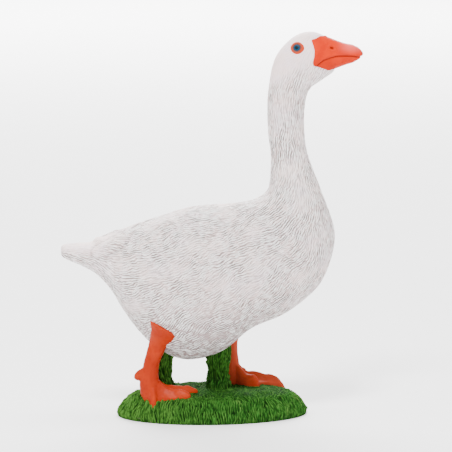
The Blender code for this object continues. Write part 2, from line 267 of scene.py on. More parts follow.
# Shader nodes written as sums.
class Wire:
    def __init__(self, paint, socket):
        self.paint = paint
        self.socket = socket

    def math(self, operation, a, b):
        return self.paint.add("ShaderNodeMath", {"operation": operation}, {0: a, 1: b})

    def __add__(self, other):
        return self.math("ADD", self, other)

    def __radd__(self, other):
        return self.math("ADD", other, self)

    def __sub__(self, other):
        return self.math("SUBTRACT", self, other)

    def __rsub__(self, other):
        return self.math("SUBTRACT", other, self)

    def __mul__(self, other):
        return self.math("MULTIPLY", self, other)

    def __rmul__(self, other):
        return self.math("MULTIPLY", other, self)

    def __truediv__(self, other):
        return self.math("DIVIDE", self, other)

    def __pow__(self, other):
        return self.math("POWER", self, other)


class Paint:
    def __init__(self, name):
        self.material = bpy.data.materials.new(name)
        self.material.use_nodes = True
        self.tree = self.material.node_tree
        self.shader = self.tree.nodes["Principled BSDF"]

    def link(self, socket, value):
        if isinstance(value, Wire):
            self.tree.links.new(value.socket, socket)
        else:
            socket.default_value = value

    def add(self, kind, settings=None, sockets=None, out=0):
        node = self.tree.nodes.new(kind)
        for key, value in (settings or {}).items():
            setattr(node, key, value)
        for key, value in (sockets or {}).items():
            self.link(node.inputs[key], value)
        return Wire(self, node.outputs[out])

    def place(self):
        return self.add("ShaderNodeTexCoord", out="Object")

    def attribute(self, name):
        return self.add("ShaderNodeAttribute", {"attribute_name": name}, out="Fac")

    def noise(self, scale, detail=3.0, roughness=0.55, where=None):
        return self.add("ShaderNodeTexNoise", {}, {"Vector": where or self.place(), "Scale": scale,
                                                  "Detail": detail, "Roughness": roughness})

    def step(self, value, low, high):
        return self.add("ShaderNodeMapRange", {"interpolation_type": "SMOOTHSTEP"},
                        {"Value": value, "From Min": low, "From Max": high})

    def mix(self, share, a, b):
        return self.add("ShaderNodeMix", {"data_type": "RGBA"}, {0: share, 6: a, 7: b}, out=2)

    def bump(self, height, strength, distance):
        return self.add("ShaderNodeBump", {}, {"Height": height, "Strength": strength, "Distance": distance})

    # Fine wavy lines along the grain that keepAcross stored, 0.5 in the middle.
    def lines(self, perMetre, waver, start=0.0):
        wave = self.add("ShaderNodeTexNoise", {}, {"Vector": self.place(), "Scale": 900.0, "Detail": 1.0},
                        out="Color")
        moved = self.add("ShaderNodeVectorMath", {"operation": "ADD"},
                         {0: self.place(), 1: (start, start, start)})
        warped = self.add("ShaderNodeVectorMath", {"operation": "MULTIPLY_ADD"},
                          {0: wave, 1: (waver, waver, waver), 2: moved})
        across = self.add("ShaderNodeAttribute", {"attribute_name": "across"}, out="Vector")
        return self.add("ShaderNodeTexGabor", {"gabor_type": "3D"},
                        {0: warped, 1: perMetre / 2.5, 2: 2.5, 3: 1.0, 5: across})

    # Two sets of such lines, so that the one fills where the other fades.
    def closeLines(self, perMetre, waver):
        first = self.lines(perMetre, waver)
        return first.math("MAXIMUM", first, self.lines(perMetre + 100.0, waver, 3.7))

    def along(self, axis):
        return self.add("ShaderNodeSeparateXYZ", {}, {0: self.place()}, out=axis)

    def set(self, **sockets):
        for name, value in sockets.items():
            self.link(self.shader.inputs[name.replace("_", " ")], value)
        return self.material


# Keeps the way across the grain at each point, for the fine lines of the paint.
def keepAcross(thing, skin, grain):
    across = []
    for co, out in zip(skin.at, skin.out):
        across.extend(out.cross(grain(co, out)))
    thing.data.attributes.new("across", "FLOAT_VECTOR", "POINT").data.foreach_set("vector", across)


def dress(thing, material):
    thing.data.materials.append(material)
    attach(thing, "root")
    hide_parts("goose_figurine")
    faces = len(thing.data.polygons)
    print(thing.name, "faces", faces)
    return thing


# Plumage
plumage = {
    "voxel": 0.25 * mm,
    "wingEdge": ((-17.0, 26.4), (-12.3, 26.9), (-7.3, 30.0), (-3.0, 33.0), (0.8, 35.2)),   # mm, x and height
    "wingLift": 0.30 * mm,
    "creaseDepth": 0.07 * mm,
    "spineDepth": 0.30 * mm,
    "strokeLong": 1.45 * mm,
    "strokeWide": 0.25 * mm,
    "strokeDepth": 0.14 * mm,
    "strokeGap": 0.46 * mm,
    "wingTip": (-18.8, 3.9, 32.85),       # mm, middle of the left one
    "wingTipHalf": (4.9, 2.3, 2.0),       # mm, along, across and up
    "wingTipRise": 0.26,
    "tipEdgeWide": 0.20 * mm,
    "tipEdgeDeep": 0.13 * mm,
    "vaneLong": 3.6 * mm,
    "vaneWide": 1.15 * mm,
    "vaneHeight": 0.24 * mm,
}

# Which way the feathers lie, seen from the side: x, height (mm), then the way towards their tips.
featherWays = (
    (14.0, 70.0, -1.0, -0.3), (12.5, 66.0, -0.3, -1.0), (18.0, 67.0, -0.4, -1.0), (14.0, 58.0, 0.0, -1.0),
    (14.5, 50.0, 0.0, -1.0), (20.0, 44.0, 0.25, -1.0), (12.0, 45.0, -0.4, -1.0), (22.5, 36.0, 0.0, -1.0),
    (20.0, 27.0, -0.7, -1.0), (14.0, 20.5, -1.0, -0.7), (6.0, 15.5, -1.0, -0.6), (-2.0, 10.5, -1.0, -0.05),
    (12.0, 38.0, -0.75, -0.8), (7.0, 37.0, -0.9, -0.55), (14.0, 30.0, -0.8, -0.75), (5.0, 30.0, -1.0, -0.5),
    (-3.0, 27.0, -1.0, -0.42), (-10.0, 24.0, -1.0, -0.35), (-16.0, 27.0, -1.0, -0.2), (0.0, 40.0, -1.0, -0.1),
    (-10.0, 37.0, -1.0, -0.3), (-20.0, 28.5, -1.0, 0.15), (-26.0, 32.0, -1.0, 0.05), (-10.0, 17.0, -0.7, -0.75),
    (-4.0, 16.5, -0.8, -0.7), (2.0, 21.0, -0.9, -0.6),
)


def featherGrain(co, out):
    dx = dz = 0.0
    for x, z, wayX, wayZ in featherWays:
        weight = 1.0 / ((co.x / mm - x) ** 2 + (co.z / mm - z) ** 2 + 1.5) ** 1.5
        length = math.hypot(wayX, wayZ)
        dx += weight * wayX / length
        dz += weight * wayZ / length
    swirl = 0.40 * noise.noise(co / (2.4 * mm))
    swirl += 0.40 * noise.noise(co / (6.0 * mm) + Vector((7.0, 3.0, 1.0)))
    swirl *= 0.4 + 0.6 * (1.0 - ease(co.z, 38.0 * mm, 48.0 * mm))
    c, s = math.cos(swirl), math.sin(swirl)
    flow = Vector((dx * c - dz * s, 0.0, dx * s + dz * c))
    flow -= out * flow.dot(out)
    return flow.normalized() if flow.length > 1e-6 else out.orthogonal().normalized()


def pointOnGoose(slices, share, angle):
    place = share * (len(slices) - 1)
    top = curveThrough([s[0] for s in slices], place)
    low = curveThrough([s[1] for s in slices], place)
    half = curveThrough([s[2] for s in slices], place)
    middle = (top + low) / 2.0
    reach = (top - low) / 2.0
    c = rounded(math.cos(angle), 2.0 / goose["fullness"])
    s = rounded(math.sin(angle), 2.0 / goose["fullness"])
    return Vector((middle.x + reach.x * c, half * s, middle.y + reach.y * c))


def gooseForm(sides, rings):
    slices = gooseSlices()
    return laidSphere(sides, rings, lambda share, angle: pointOnGoose(slices, share, angle))


# The folded wing stands out of the flank above its lower edge.
def wingRelief(co, out):
    x = co.x / mm
    if x > 4.0 or x < -23.0:
        return 0.0
    above = co.z / mm - curveAt(plumage["wingEdge"], x)
    side = ease(abs(out.y), 0.05, 0.35)
    fadeFront = 1.0 - ease(x, -4.0, 4.0)
    lift = plumage["wingLift"] * ease(above, -0.2, 0.9) * fadeFront * ease(x, -23.0, -18.0)
    lift *= 0.55 + 0.45 * side
    crease = plumage["creaseDepth"] * math.exp(-(above / 0.5) ** 2)
    crease *= ease(x, -19.0, -14.0) * (1.0 - ease(x, -2.0, 2.5))
    spine = plumage["spineDepth"] * math.exp(-(co.y / (0.9 * mm)) ** 2)
    spine *= ease(out.z, 0.6, 0.9) * (1.0 - ease(x, -9.0, -1.0))
    return lift - crease * side - spine


# The end of a folded wing, a long lobe that lies on the root of the tail.
def wingTipForm(side):
    x, y, z = plumage["wingTip"]
    long, across, high = plumage["wingTipHalf"]
    rise = plumage["wingTipRise"]
    ahead = Vector((math.cos(rise), -0.10 * side, math.sin(rise))).normalized()
    sideways = Vector((0.0, 0.0, 1.0)).cross(ahead).normalized()
    up = ahead.cross(sideways)

    def place(share, angle):
        along = -math.cos(share * math.pi)
        out = math.sin(share * math.pi) ** 0.75
        spot = Vector((x, side * y, z)) + ahead * (long * along)
        return (spot + sideways * (across * out * math.cos(angle)) + up * (high * out * math.sin(angle))) * mm

    return laidSphere(64, 60, place)


def strokeProfile(u, v):
    return (1.0 - u * u) * math.cos(v * math.pi / 2.0) ** 2


def vaneProfile(u, v):
    tip = 1.0 - ease(u, 0.80, 0.98)
    shaft = 1.0 + 0.18 * math.exp(-(v / 0.12) ** 2)
    return (0.35 + 0.65 * ease(u, -1.0, 0.6)) * tip * (1.0 - v ** 4) * shaft


def makePlumage():
    forms = [gooseForm(160, 220), wingTipForm(1.0), wingTipForm(-1.0)]
    trees = [BVHTree.FromBMesh(form) for form in forms]
    bm = mouldTogether("plumage", forms, plumage["voxel"], 1)
    for _ in range(2):
        for vert in bm.verts:
            vert.co = min((tree.find_nearest(vert.co) for tree in trees), key=lambda hit: hit[3])[0]
        evenOut(bm, bm.verts)
    bm.normal_update()
    skin = Skin(bm)
    print("plumage skin", len(skin.at))
    for i, (co, out) in enumerate(zip(skin.at, skin.out)):
        skin.height[i] = wingRelief(co, out)
    base = list(skin.height)

    def onWing(co, out):
        x, z = co.x / mm, co.z / mm
        edge = curveAt(plumage["wingEdge"], x)
        return -17.0 < x < -9.0 and edge + 0.8 < z < edge + 9.0 and abs(out.y) > 0.25

    def wingGrain(co, out):
        flow = Vector((-1.0, 0.0, -0.12))
        flow -= out * flow.dot(out)
        return flow.normalized()

    vanes, _ = skin.scatter(11, wingGrain, 3.2 * mm, 1.7 * mm, onWing)
    vanes.sort(key=lambda mark: -skin.at[mark[0]].x)
    skin.height = [0.0] * len(base)
    for mark in vanes:
        skin.press(mark, plumage["vaneLong"], plumage["vaneWide"], plumage["vaneHeight"], vaneProfile,
                   deepest=max)
    relief = [a + b for a, b in zip(base, skin.height)]
    skin.height = [0.0] * len(base)

    def onBody(co, out):
        x, z = co.x / mm, co.z / mm
        return z < 69.5 and not (x > 17.0 and z > 64.5) and not (x > 12.5 and z > 67.5)

    strokes, draw = skin.scatter(5, featherGrain, 1.45 * plumage["strokeLong"], plumage["strokeGap"], onBody)
    print("feather strokes", len(strokes))
    for mark in strokes:
        co = skin.at[mark[0]]
        halfLong = plumage["strokeLong"] * draw.uniform(0.65, 1.25)
        depth = plumage["strokeDepth"] * draw.uniform(0.55, 1.15)
        depth *= min(1.0, 0.6 + 0.9 * (0.5 + noise.noise(co / (3.5 * mm))))
        depth *= 1.0 - 0.75 * ease(co.z, 62.0 * mm, 67.0 * mm)
        depth *= 1.0 - 0.6 * (1.0 - ease(co.x, -23.5 * mm, -19.0 * mm)) * ease(co.z, 31.0 * mm, 32.5 * mm)
        skin.press(mark, halfLong, plumage["strokeWide"], -depth, strokeProfile, bend=draw.uniform(-0.8, 0.8))
    carved = list(skin.height)

    # The end of each wing is marked off from the tail by a groove.
    for i, co in enumerate(skin.at):
        if co.x < -15.5 * mm:
            ends = min(tree.find_nearest(co)[3] for tree in trees[1:])
            between = max(trees[0].find_nearest(co)[3], ends) / plumage["tipEdgeWide"]
            rear = 1.0 - ease(co.x, -19.8 * mm, -15.5 * mm)
            carved[i] -= plumage["tipEdgeDeep"] * math.exp(-between ** 2) * rear
    skin.height = [a + b for a, b in zip(relief, carved)]
    thing = skin.finish("plumage", "relief", 0.0, 1.0)
    # The relief attribute keeps how deep each point is carved, wing-tip groove included, for painted shade in
    # the plumage paint.
    values = [max(0.0, min(1.0, -h / plumage["strokeDepth"])) for h in carved]
    thing.data.attributes["relief"].data.foreach_set("value", values)
    keepAcross(thing, skin, featherGrain)
    down = []
    for co, out in zip(skin.at, skin.out):
        fine = min(1.0, 0.88 + 0.9 * noise.noise(co / (4.5 * mm)))
        fine *= 1.0 - 0.85 * ease(co.z - 0.5 * co.x, 56.0 * mm, 60.0 * mm)
        fine *= 1.0 - 0.7 * (1.0 - ease(co.x, -23.5 * mm, -19.5 * mm)) * ease(co.z, 31.5 * mm, 32.5 * mm)
        down.append(max(0.0, fine))
    thing.data.attributes.new("down", "FLOAT", "POINT").data.foreach_set("value", down)
    return thing


def plumagePaint():
    paint = Paint("plumage paint")
    groove = paint.attribute("relief")
    broad = paint.noise(55.0, 2.0)
    patch = paint.noise(240.0, 3.0)
    white = paint.mix(paint.step(broad, 0.40, 0.62), (0.86, 0.675, 0.650, 1.0), (0.91, 0.750, 0.715, 1.0))
    white = paint.mix(paint.step(patch, 0.42, 0.66) * 0.5, white, (0.80, 0.675, 0.745, 1.0))
    # Painted shade: the white turns dark grey towards the underside, fully below 12 mm and fading out by 28 mm.
    low = 1.0 - paint.step(paint.along("Z"), 0.012, 0.028)
    white = paint.mix(low, white, (0.27, 0.200, 0.195, 1.0))
    down = paint.attribute("down")
    barbs = paint.closeLines(2200.0, 0.0005)
    # Painted shade in the carved grooves: the deeper a point is carved, the darker the white.
    whiteShadedAndLit = paint.mix(paint.step(groove, 0.04, 0.75) * 0.50, white, (0.27, 0.195, 0.185, 1.0))
    # Painted shade in the gaps between the fine lines and painted highlight along them, where the down shows.
    whiteShadedAndLit = paint.mix((1.0 - paint.step(barbs, 0.455, 0.57)) * down * 0.92, whiteShadedAndLit, (0.20, 0.145, 0.135, 1.0))
    whiteShadedAndLit = paint.mix(paint.step(barbs, 0.555, 0.62) * down, whiteShadedAndLit, (1.0, 0.985, 0.965, 1.0))
    fine = paint.noise(2600.0, 3.0) * 0.3 + (barbs - 0.5) * down * 8.0
    return paint.set(Base_Color=whiteShadedAndLit, Roughness=0.50 + 0.12 * patch + 0.10 * groove, IOR=1.46,
                     Specular_IOR_Level=0.42, Normal=paint.bump(fine, 0.8, 0.00016))


# Bill
bill = {
    "culmen": ((19.4, 72.9), (20.2, 73.0), (21.0, 72.95), (21.75, 72.75), (22.5, 72.48), (23.9, 71.95),
               (25.4, 71.42), (26.9, 71.12), (27.9, 70.7), (28.5, 70.2), (28.85, 69.8), (29.0, 69.35)),
    "under": ((19.4, 66.3), (20.8, 66.2), (22.3, 66.2), (24.2, 66.75), (26.2, 67.4), (27.0, 67.65),
              (27.9, 68.05), (28.4, 68.35), (28.8, 68.85), (29.0, 69.35)),
    "halfWidth": ((19.4, 2.95), (21.6, 2.85), (24.4, 2.35), (26.2, 2.05), (27.7, 1.80), (28.5, 1.35),
                  (29.0, 0.0)),
    "root": ((-1.0, 24.2), (-0.965, 23.5), (-0.949, 22.0), (-0.84, 20.95), (-0.753, 19.95), (-0.72, 19.3),
             (-0.65, 18.95), (-0.5, 18.85), (-0.21, 19.05), (0.107, 19.15), (0.403, 18.95), (0.655, 18.7),
             (0.74, 18.72), (0.79, 18.95), (0.82, 19.4), (0.857, 20.1), (0.904, 20.85), (1.0, 21.7)),
    "mouth": ((19.2, 66.8), (19.75, 67.35), (20.3, 67.8), (20.9, 68.25), (22.2, 68.7), (23.7, 69.0),
              (25.9, 69.02), (28.1, 68.8), (29.2, 68.8)),
    "nostril": (22.65, 70.6),
    "onHead": 24.5 * mm,
    "seam": (22.4 * mm, 25.2 * mm),
    "deepest": 1.3 * mm,
    "proud": 0.18 * mm,
}


# Keeps a point of the bill a little outside the head it grows from: a deep one goes out sideways,
# and a shallow one the shortest way.
def proudOfHead(face, co, proud):
    if co.x > bill["onHead"]:
        return co
    near, out, _, gap = face.find_nearest(co)
    if gap > bill["deepest"] or (co - near).dot(out) > proud:
        return co
    nearest = near + out * proud
    side = math.copysign(1.0, co.y)
    beside = face.ray_cast(Vector((co.x, side * 0.02, co.z)), Vector((0.0, -side, 0.0)))[0]
    if beside is None:
        return nearest
    beside.y += side * proud
    return nearest.lerp(beside, ease(gap, 0.15 * mm, 0.40 * mm))


def billPoint(face, share, angle):
    up = math.cos(angle)
    rootX = curveAt(bill["root"], up)
    if share <= 0.08:
        x = rootX
        inward = 0.25 + 0.75 * share / 0.08
        low, high = curveAt(bill["under"], x), curveAt(bill["culmen"], x)
        middle = (low + high) / 2.0
        z = middle + (high - low) / 2.0 * up * inward
        y = curveAt(bill["halfWidth"], x) * rounded(math.sin(angle), 0.8) * inward * 0.96
        return Vector((x + 0.9 * (1.0 - inward), y, z)) * mm
    along = (share - 0.08) / 0.92
    along = math.sin(along * math.pi / 2.0) ** 1.15
    x = rootX + (29.0 - rootX) * along
    low, high = curveAt(bill["under"], x), curveAt(bill["culmen"], x)
    z = (low + high) / 2.0 + (high - low) / 2.0 * rounded(up, 0.92)
    y = curveAt(bill["halfWidth"], x) * rounded(math.sin(angle), 0.8)
    return proudOfHead(face, Vector((x, y, z)) * mm, bill["proud"])


def makeBill(face):
    bm = laidSphere(160, 140, lambda share, angle: billPoint(face, share, angle))
    start, end = bill["seam"]
    seam = [vert for vert in bm.verts if start < vert.co.x < end]
    for _ in range(14):
        evenOut(bm, seam)
    bm.normal_update()
    hollowShade = []
    for vert in bm.verts:
        co, out = vert.co.copy(), vert.normal.copy()
        x, z = co.x / mm, co.z / mm
        mouth = (z - curveAt(bill["mouth"], x))
        parted = ease(x, 19.4, 19.9) * ease(abs(out.y) + max(0.0, out.x), 0.15, 0.5)
        gape = math.exp(-(mouth / 0.16) ** 2) * parted
        lip = 0.10 * math.exp(-((mouth - 0.42) / 0.30) ** 2) * parted
        under = 0.10 * ease(-mouth, 0.0, 0.2) * (1.0 - ease(-mouth, 0.3, 1.4)) * parted
        nx, nz = bill["nostril"]
        slitU = ((x - nx) * 0.97 - (z - nz) * 0.25) / 0.62
        slitV = ((x - nx) * 0.25 + (z - nz) * 0.97) / 0.30
        ring = math.hypot(slitU, slitV)
        hole = math.exp(-(ring / 0.62) ** 4) if abs(out.y) > 0.2 else 0.0
        rim = 0.15 * math.exp(-((ring - 1.25) / 0.45) ** 2) if abs(out.y) > 0.2 else 0.0
        nail = 0.07 * math.exp(-((x - 27.55) / 0.16) ** 2) * ease(mouth, 0.2, 0.5) * ease(out.z, -0.1, 0.3)
        push = -0.22 * gape + lip - under - 0.24 * hole + rim - nail
        moved = co + out * push * mm
        vert.co = proudOfHead(face, moved, 0.03 * mm) if push < 0.0 else moved
        # Painted shade: the mouth groove, the nostril and the nail groove are kept for darkening in the bill
        # paint.
        hollowShade.append(min(1.0, gape + hole + 2.0 * nail))
    bm.normal_update()
    thing = toObject("bill", bm)
    shade = thing.data.attributes.new("relief", "FLOAT", "POINT")
    shade.data.foreach_set("value", hollowShade)
    return thing


def billPaint():
    paint = Paint("bill paint")
    where = paint.along("X")
    height = paint.along("Z")
    cloud = paint.noise(420.0, 3.0)
    dark = paint.attribute("relief")
    orange = paint.mix(paint.step(cloud, 0.35, 0.65), (0.49, 0.016, 0.0001, 1.0), (0.56, 0.023, 0.0002, 1.0))
    # Painted sheen: a pink highlight on the top of the bill towards its tip.
    pinkSheen = paint.step(where, 0.0230, 0.0265) * paint.step(height, 0.0690, 0.0708)
    orange = paint.mix(pinkSheen * 0.50, orange, (0.78, 0.13, 0.12, 1.0))
    lower = 1.0 - paint.step(height, 0.0672, 0.0688)
    orange = paint.mix(lower * 0.5, orange, (0.36, 0.016, 0.0006, 1.0))
    # Painted shade: near-black red in the mouth groove, the nostril and the nail groove.
    orange = paint.mix(dark * 0.75, orange, (0.10, 0.006, 0.002, 1.0))
    fine = paint.noise(1400.0, 2.0)
    return paint.set(Base_Color=orange, Roughness=0.34 + 0.12 * cloud, Coat_Weight=0.03, Coat_Roughness=0.2,
                     Specular_IOR_Level=0.03, Normal=paint.bump(fine, 0.2, 0.00005))


# Eyes
eye = {"x": 15.90, "z": 70.66, "long": 1.28, "high": 1.24, "ball": 0.62, "stand": 0.22}


def makeEye(name, face, side):
    start = Vector((eye["x"] * mm, side * goose["headWidth"], eye["z"] * mm))
    seat, out, _, _ = face.ray_cast(start, Vector((0.0, -side, 0.0)))
    ahead = Vector((1.0, 0.0, -0.06))
    ahead = (ahead - out * ahead.dot(out)).normalized()
    up = out.cross(ahead) if side > 0 else ahead.cross(out)
    up = up if up.z > 0 else -up
    rim = []

    def place(share, angle):
        far = math.sin(share * math.pi / 2.0 / 0.78) if share < 0.78 else 1.0
        corner = 1.0 + 0.13 * max(0.0, math.cos(angle)) ** 6
        reach = min(1.0, share / 0.78) * corner
        x = eye["long"] * reach * math.cos(angle)
        y = eye["high"] * reach * math.sin(angle)
        radius = math.hypot(x, y)
        ball = eye["ball"]
        if share >= 0.78:
            lift = -0.9 * (share - 0.78) / 0.22 - 0.05
        elif radius < ball:
            lift = eye["stand"] * math.sqrt(max(0.0, 1.0 - (radius / (ball * 1.12)) ** 2)) + 0.02
        else:
            across = (radius - ball) / max(0.05, eye["long"] * corner - ball)
            lift = 0.05 + 0.20 * math.sin(math.pi * min(1.0, across)) ** 0.8 - 0.10 * across
        sink = 0.115 * radius * radius
        return seat + (ahead * x + up * y + out * (lift - sink * 0.55)) * mm

    bm = laidSphere(72, 60, place)
    for vert in bm.verts:
        r = vert.co - seat
        rim.append(math.hypot(r.dot(ahead), r.dot(up)) / mm)
    thing = toObject(name, bm)
    shade = thing.data.attributes.new("radius", "FLOAT", "POINT")
    shade.data.foreach_set("value", rim)
    return thing


def eyePaint():
    paint = Paint("eye paint")
    radius = paint.attribute("radius")
    speck = paint.noise(5200.0, 2.0)
    blue = paint.mix(speck, (0.002, 0.032, 0.07, 1.0), (0.006, 0.065, 0.12, 1.0))
    pupil = 1.0 - paint.step(radius, 0.24, 0.46)
    colour = paint.mix(pupil, blue, (0.003, 0.004, 0.006, 1.0))
    colour = paint.mix(paint.step(radius, 0.50, 0.60), colour, (0.02, 0.03, 0.05, 1.0))
    colour = paint.mix(paint.step(radius, 0.60, 0.74), colour, (0.17, 0.045, 0.030, 1.0))
    ring = paint.step(radius, 0.85, 1.02)
    colour = paint.mix(ring, colour, (0.46, 0.035, 0.006, 1.0))
    return paint.set(Base_Color=colour, Roughness=0.38 + 0.10 * ring, Coat_Weight=0.0,
                     Specular_IOR_Level=0.06)


# Grass mound and tufts
grass = {
    "length": 37.2 * mm,
    "width": 23.8 * mm,
    "height": 5.1 * mm,
    "voxel": 0.18 * mm,
    "bladeLong": 1.25 * mm,
    "bladeWide": 0.22 * mm,
    "bladeHeight": 0.62 * mm,
    "tufts": ((-9.8 * mm, 0.0), (1.2 * mm, 0.0)),
    "tuftAcross": 4.8 * mm,
    "tuftSink": 1.4 * mm,
    "heap": (-14.4 * mm, -4.2 * mm, 2.6 * mm, 1.1 * mm),   # where, how wide and how high
}


def grassLevel(x, y):
    across = math.hypot(2.0 * x / grass["length"], 2.0 * y / grass["width"])
    return grass["height"] * max(0.0, 1.0 - across ** 7.0) ** 0.85


# The grass is heaped a little round the heel.
def heelHeap(x, y):
    dx, dy, radius, high = grass["heap"]
    return high * math.exp(-((x - dx) ** 2 + (y - dy) ** 2) / radius ** 2)


def moundForm():
    def place(share, angle):
        out = min(1.0, math.sin(min(share / 0.8, 1.0) * math.pi / 2.0) ** 0.9)
        if share > 0.8:
            out = (1.0 - share) / 0.2
        x = out * (grass["length"] / 2.0 - 0.3 * mm) * math.cos(angle)
        y = out * (grass["width"] / 2.0 - 0.3 * mm) * math.sin(angle)
        level = grassLevel(x, y)
        z = level + heelHeap(x, y) * ease(level, 0.0, 3.0 * mm) if share < 0.8 else 0.0
        return Vector((x, y, z))

    return laidSphere(128, 60, place)


def tuftForm(face, x, y):
    low = grassLevel(x, y) - grass["tuftSink"]
    high = face.ray_cast(Vector((x, y, 0.0)), Vector((0.0, 0.0, 1.0)))[0].z + grass["tuftSink"]
    half = grass["tuftAcross"] / 2.0
    wide = (0.95, 1.0, 0.84, 0.78, 0.86, 0.98, 0.90)

    def place(share, angle):
        k = max(0.0, min(1.0, (share - 0.06) / 0.88))
        out = curveThrough(wide, k * (len(wide) - 1)) * (1.0 if 0.05 < share < 0.95 else 0.0)
        out *= 1.0 + 0.06 * math.cos(9.0 * angle + 5.0 * share)
        z = low + (high - low) * k
        return Vector((x + half * out * math.cos(angle), y + half * 0.85 * out * math.sin(angle), z))

    return laidSphere(64, 60, place)


def bladeProfile(u, v):
    narrow = 1.0 - 0.75 * ease(u, 0.1, 1.0)
    across = max(0.0, 1.0 - (v / narrow) ** 2)
    return (0.25 + 0.75 * ease(u, -1.0, 0.55)) * (1.0 - ease(u, 0.82, 1.0)) * across ** 0.7


def makeGrass(face):
    shapes = [moundForm()] + [tuftForm(face, x, y) for x, y in grass["tufts"]]
    skin = Skin(mouldTogether("grass", shapes, grass["voxel"], 3))
    print("grass skin", len(skin.at))

    # Blades point up the slopes and up the tufts, and every way on the level top.
    def grain(co, out):
        wave = noise.noise(co / (2.2 * mm))
        upward = Vector((0.55 * wave, 0.55 * noise.noise(co / (2.2 * mm) + Vector((5.0, 2.0, 8.0))), 1.0))
        about = 6.0 * noise.noise(co / (4.0 * mm) + Vector((1.0, 9.0, 4.0)))
        level = Vector((math.cos(about), math.sin(about), 0.0))
        flow = upward * ease(1.0 - out.z, 0.03, 0.20) + level * (1.0 - ease(1.0 - out.z, 0.03, 0.20))
        flow -= out * flow.dot(out)
        return flow.normalized() if flow.length > 1e-6 else out.orthogonal().normalized()

    def onTop(co, out):
        return co.z > 0.35 * mm or out.z > -0.2

    for seed, gap in ((21, 1.0), (22, 1.2), (23, 1.5)):
        blades, spread = skin.scatter(seed, grain, 1.1 * grass["bladeLong"] * gap, 0.40 * mm * gap, onTop)
        print("blades", len(blades))
        for mark in blades:
            halfLong = grass["bladeLong"] * spread.uniform(0.7, 1.3)
            high = grass["bladeHeight"] * spread.uniform(0.45, 1.0)
            high *= 1.0 - 0.45 * ease(skin.out[mark[0]].z, 0.85, 0.97)
            skin.press(mark, halfLong, grass["bladeWide"] * spread.uniform(0.85, 1.25), high, bladeProfile,
                       bend=spread.uniform(-0.9, 0.9), deepest=max)
    lift = list(skin.height)
    for i, (co, out) in enumerate(zip(skin.at, skin.out)):
        skin.height[i] = (lift[i] - 0.24 * mm) * ease(co.z, 0.0, 0.8 * mm)
        if co.z < 0.25 * mm and out.z < -0.5:
            skin.height[i] = 0.0
    thing = skin.finish("grass", "relief", 0.0, 1.0)
    values = [max(0.0, min(1.0, h / grass["bladeHeight"])) for h in lift]
    thing.data.attributes["relief"].data.foreach_set("value", values)
    keepAcross(thing, skin, grain)
    for vert in thing.data.vertices:
        vert.co.z = max(0.0, vert.co.z)
    return thing


def grassPaint():
    paint = Paint("grass paint")
    lift = paint.attribute("relief")
    patch = paint.noise(190.0, 3.0)
    broad = paint.noise(75.0, 2.0)
    height = paint.along("Z")
    # Dark green low between the blades and light green on their tips: partly the figure's drybrushed paint,
    # partly painted shade and painted highlight.
    deep = paint.mix(paint.step(patch, 0.35, 0.65), (0.003, 0.014, 0.002, 1.0), (0.005, 0.024, 0.004, 1.0))
    mid = paint.mix(paint.step(broad, 0.40, 0.62), (0.008, 0.049, 0.006, 1.0), (0.014, 0.068, 0.009, 1.0))
    tip = paint.mix(paint.step(patch, 0.50, 0.68), (0.030, 0.130, 0.018, 1.0), (0.090, 0.180, 0.035, 1.0))
    colour = paint.mix(paint.step(lift, 0.08, 0.45), deep, mid)
    colour = paint.mix(paint.step(lift, 0.50, 0.92), colour, tip)
    # Painted light: the raised blades towards the left end of the mound are lighter and yellower.
    litLeftEnd = 1.0 - paint.step(paint.along("X"), -0.013, 0.002)
    colour = paint.mix(litLeftEnd * paint.step(lift, 0.15, 0.7) * 0.6, colour, (0.062, 0.155, 0.022, 1.0))
    # Painted shade: the top of the mound, from about 3.8 to 6.3 mm high, is darkened.
    level = paint.step(height, 0.0038, 0.0046) * (1.0 - paint.step(height, 0.0057, 0.0063))
    colour = paint.mix(level * 0.45, colour, (0.009, 0.040, 0.004, 1.0))
    upright = paint.step(height, 0.0062, 0.0078)
    colour = paint.mix(upright * paint.step(lift, 0.1, 0.6) * 0.35, colour, (0.030, 0.105, 0.008, 1.0))
    blades = paint.closeLines(2100.0, 0.0005) - 0.04
    # Painted shade in the gaps between the fine blade lines and painted highlight along them.
    colour = paint.mix((1.0 - paint.step(blades, 0.41, 0.52)) * 0.7, colour, (0.003, 0.016, 0.002, 1.0))
    colour = paint.mix(paint.step(blades, 0.53, 0.62) * 0.45, colour, (0.070, 0.185, 0.030, 1.0))
    bare = paint.step(paint.noise(420.0, 2.0), 0.62, 0.70) * (1.0 - paint.step(height, 0.0003, 0.0009))
    colour = paint.mix(bare * 0.8, colour, (0.30, 0.26, 0.17, 1.0))
    fine = paint.noise(1800.0, 3.0) * 0.4 + (blades - 0.5) * 4.0
    return paint.set(Base_Color=colour, Roughness=0.72 + 0.2 * patch, Specular_IOR_Level=0.02,
                     Normal=paint.bump(fine, 0.7, 0.00012))


# Legs
leg = {
    "voxel": 0.13 * mm,
    "stance": 9.6 * mm,
    "proud": 0.55 * mm,
    "spurRise": 4.6 * mm,
    "toe": 9.6 * mm,
    "toeWide": 1.05 * mm,
    "web": 0.40 * mm,
    "heel": 0.155,
    "footSink": 0.9 * mm,
    "footBed": 0.15 * mm,
}

